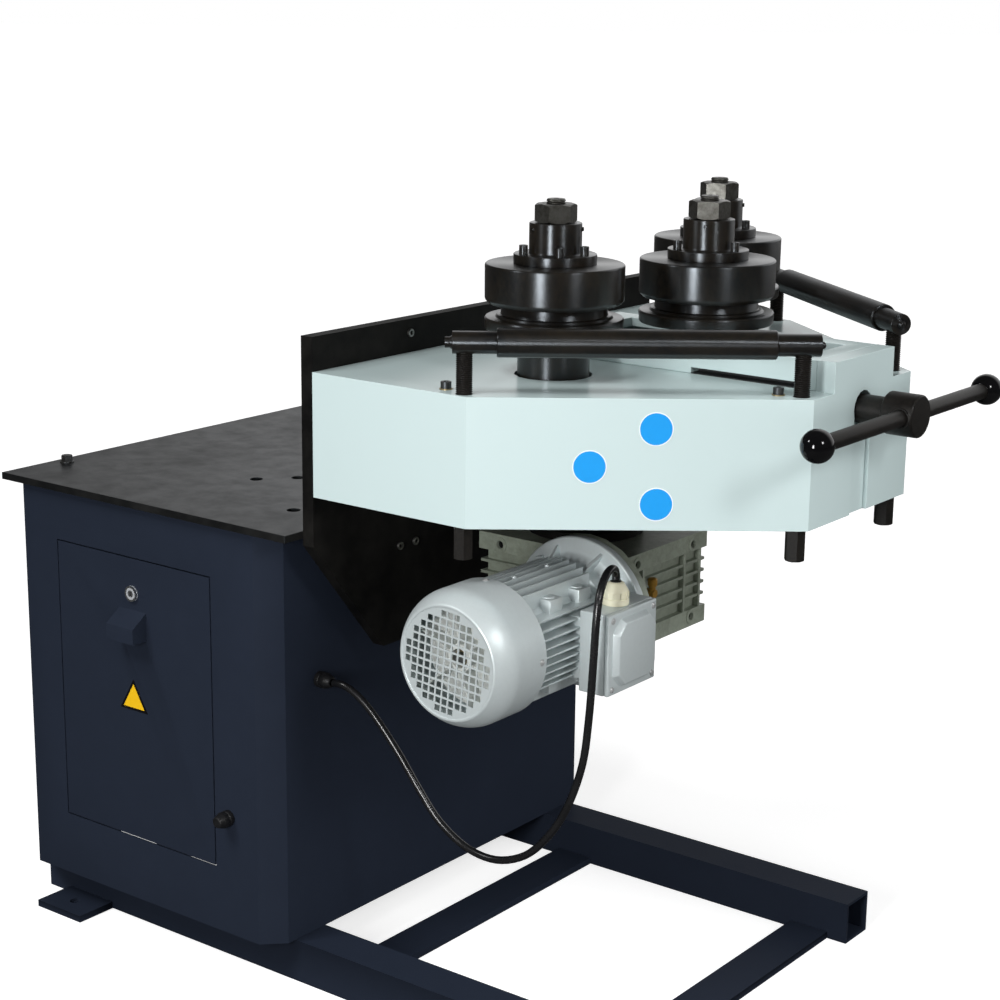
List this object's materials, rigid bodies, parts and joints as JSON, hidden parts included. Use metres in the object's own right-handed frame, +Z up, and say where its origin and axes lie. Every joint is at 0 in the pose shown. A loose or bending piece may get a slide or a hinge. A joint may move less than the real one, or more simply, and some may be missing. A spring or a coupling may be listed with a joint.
{
  "type": "ring roller",
  "caption": "Motor-driven ring roller with driven rollers and a screw-set pressing roller on a head box beside a sheet cabinet.",
  "frame": {"origin": "on the floor face under the head's back face, in the head's middle plane", "axes": "+X from the cabinet to the pressing screw, +Y to the side away from the motor, +Z up"},
  "size_m": [1.21, 0.809, 1.067],
  "materials": {
    "head_paint": "satin paint",
    "cabinet_paint": "satin paint",
    "plate_steel": "blackened plate",
    "black_steel": "polished black oxide",
    "dull_steel": "dull black oxide",
    "bright_steel": "machined",
    "bronze": "machined",
    "cast_aluminium": "die cast",
    "motor_paint": "painted",
    "cream_plastic": "moulded",
    "black_plastic": "moulded",
    "black_rubber": "cable sheath",
    "chrome": "polished"
  },
  "bodies": {
    "frame": {"base_frame": "cabinet_paint", "cabinet_shell": "cabinet_paint", "worktop": "plate_steel", "mounting_plate": "plate_steel", "control_panel": "cast_aluminium", "wall_gland": "black_plastic", "front_gland": "black_plastic", "head_housing": "head_paint", "head_bottom_plate": "dull_steel", "guide_block": "head_paint", "screw_block": "head_paint", "gearbox_adapter": "cast_aluminium", "gearbox_housing": "cast_aluminium", "motor_flange": "motor_paint", "motor_body": "motor_paint", "fan_cover": "motor_paint", "terminal_box": "motor_paint", "terminal_box_lid": "motor_paint", "motor_gland": "cream_plastic", "motor_cable": "black_rubber", "near_bearing": "bright_steel", "far_bearing": "bright_steel"},
    "door": {"cabinet_door": "cabinet_paint"},
    "lock": {"door_lock": "chrome"},
    "rotor": {"motor_rotor": "bright_steel", "worm": "bright_steel", "cooling_fan": "black_plastic"},
    "output": {"pinion_shaft": "bright_steel", "worm_wheel": "bronze"},
    "near_roller": {"near_spindle": "bright_steel", "near_lower_roller": "black_steel", "near_main_roller": "black_steel", "near_clamp_sleeve": "black_steel", "near_nut": "black_steel", "near_gear": "bright_steel"},
    "far_roller": {"far_spindle": "bright_steel", "far_lower_roller": "black_steel", "far_main_roller": "black_steel", "far_clamp_sleeve": "black_steel", "far_nut": "black_steel", "far_gear": "bright_steel"},
    "carriage": {"press_carriage": "dull_steel"},
    "press_roller": {"press_spindle": "bright_steel", "press_lower_roller": "black_steel", "press_main_roller": "black_steel", "press_clamp_sleeve": "black_steel", "press_nut": "black_steel"},
    "screw": {"pressing_screw": "black_steel", "screw_hub": "black_steel"},
    "handle": {"t_bar": "dull_steel", "near_knob": "black_plastic", "far_knob": "black_plastic"},
    "near_bar": {"near_guide_shaft": "dull_steel"},
    "near_tube": {"near_guide_tube": "dull_steel"},
    "near_stud_rear": {"near_rear_stud": "dull_steel"},
    "near_stud_front": {"near_front_stud": "dull_steel"},
    "far_bar": {"far_guide_shaft": "dull_steel"},
    "far_tube": {"far_guide_tube": "dull_steel"},
    "far_stud_rear": {"far_rear_stud": "dull_steel"},
    "far_stud_front": {"far_front_stud": "dull_steel"}
  },
  "joints": [
    {"name": "door_hinge", "type": "hinge", "parent": "frame", "child": "door", "pos_m": [-0.3125, -0.397, 0.158], "axis": [1, 0, 0], "range_deg": [0, 90]},
    {"name": "lock_turn", "type": "hinge", "parent": "door", "child": "lock", "pos_m": [-0.3125, -0.401, 0.51], "axis": [0, 1, 0], "range_deg": [0, 90]},
    {"name": "motor_spin", "type": "hinge", "parent": "frame", "child": "rotor", "pos_m": [0.2445, 0, 0.531], "axis": [0, 1, 0], "continuous": true},
    {"name": "output_turn", "type": "hinge", "parent": "frame", "child": "output", "pos_m": [0.1545, 0, 0.531], "axis": [0, 0, 1], "continuous": true},
    {"name": "near_roller_turn", "type": "hinge", "parent": "frame", "child": "near_roller", "pos_m": [0.2325, -0.1885, 0.73], "axis": [0, 0, 1], "continuous": true},
    {"name": "far_roller_turn", "type": "hinge", "parent": "frame", "child": "far_roller", "pos_m": [0.2325, 0.1885, 0.73], "axis": [0, 0, 1], "continuous": true},
    {"name": "screw_turn", "type": "hinge", "parent": "frame", "child": "screw", "pos_m": [0.6, 0, 0.821], "axis": [1, 0, 0], "range_deg": [-5400, 1200]},
    {"name": "carriage_slide", "type": "slide", "parent": "frame", "child": "carriage", "axis": [1, 0, 0], "range_m": [-0.09, 0.02]},
    {"name": "press_roller_turn", "type": "hinge", "parent": "carriage", "child": "press_roller", "pos_m": [0.335, 0, 0.8], "axis": [0, 0, 1], "continuous": true},
    {"name": "handle_slide", "type": "slide", "parent": "screw", "child": "handle", "axis": [0, 1, 0], "range_m": [-0.16, 0.17]},
    {"name": "near_bar_lift", "type": "slide", "parent": "frame", "child": "near_bar", "axis": [0, 0, 1], "range_m": [-0.025, 0]},
    {"name": "near_tube_roll", "type": "hinge", "parent": "near_bar", "child": "near_tube", "pos_m": [0.38598, -0.23838, 0.9115], "axis": [0.7842, 0.6205, 0], "continuous": true},
    {"name": "near_rear_stud_turn", "type": "hinge", "parent": "near_bar", "child": "near_stud_rear", "pos_m": [0.22917, -0.36246, 0.78], "axis": [0, 0, 1], "range_deg": [-3600, 0]},
    {"name": "near_front_stud_turn", "type": "hinge", "parent": "near_bar", "child": "near_stud_front", "pos_m": [0.54279, -0.11429, 0.78], "axis": [0, 0, 1], "range_deg": [-3600, 0]},
    {"name": "far_bar_lift", "type": "slide", "parent": "frame", "child": "far_bar", "axis": [0, 0, 1], "range_m": [-0.025, 0]},
    {"name": "far_tube_roll", "type": "hinge", "parent": "far_bar", "child": "far_tube", "pos_m": [0.38598, 0.23838, 0.9115], "axis": [0.7842, -0.6205, 0], "continuous": true},
    {"name": "far_rear_stud_turn", "type": "hinge", "parent": "far_bar", "child": "far_stud_rear", "pos_m": [0.22917, 0.36246, 0.78], "axis": [0, 0, 1], "range_deg": [-3600, 0]},
    {"name": "far_front_stud_turn", "type": "hinge", "parent": "far_bar", "child": "far_stud_front", "pos_m": [0.54279, 0.11429, 0.78], "axis": [0, 0, 1], "range_deg": [-3600, 0]}
  ],
  "couplings": [
    {"joint": "output_turn", "follows": "motor_spin", "ratio": 0.016667},
    {"joint": "near_roller_turn", "follows": "motor_spin", "ratio": -0.0098958},
    {"joint": "far_roller_turn", "follows": "motor_spin", "ratio": -0.0098958},
    {"joint": "carriage_slide", "follows": "screw_turn", "m_per_rad": 0.00095493},
    {"joint": "near_rear_stud_turn", "follows": "near_bar_lift", "rad_per_m": 2513.3},
    {"joint": "near_front_stud_turn", "follows": "near_bar_lift", "rad_per_m": 2513.3},
    {"joint": "far_rear_stud_turn", "follows": "far_bar_lift", "rad_per_m": 2513.3},
    {"joint": "far_front_stud_turn", "follows": "far_bar_lift", "rad_per_m": 2513.3}
  ]
}
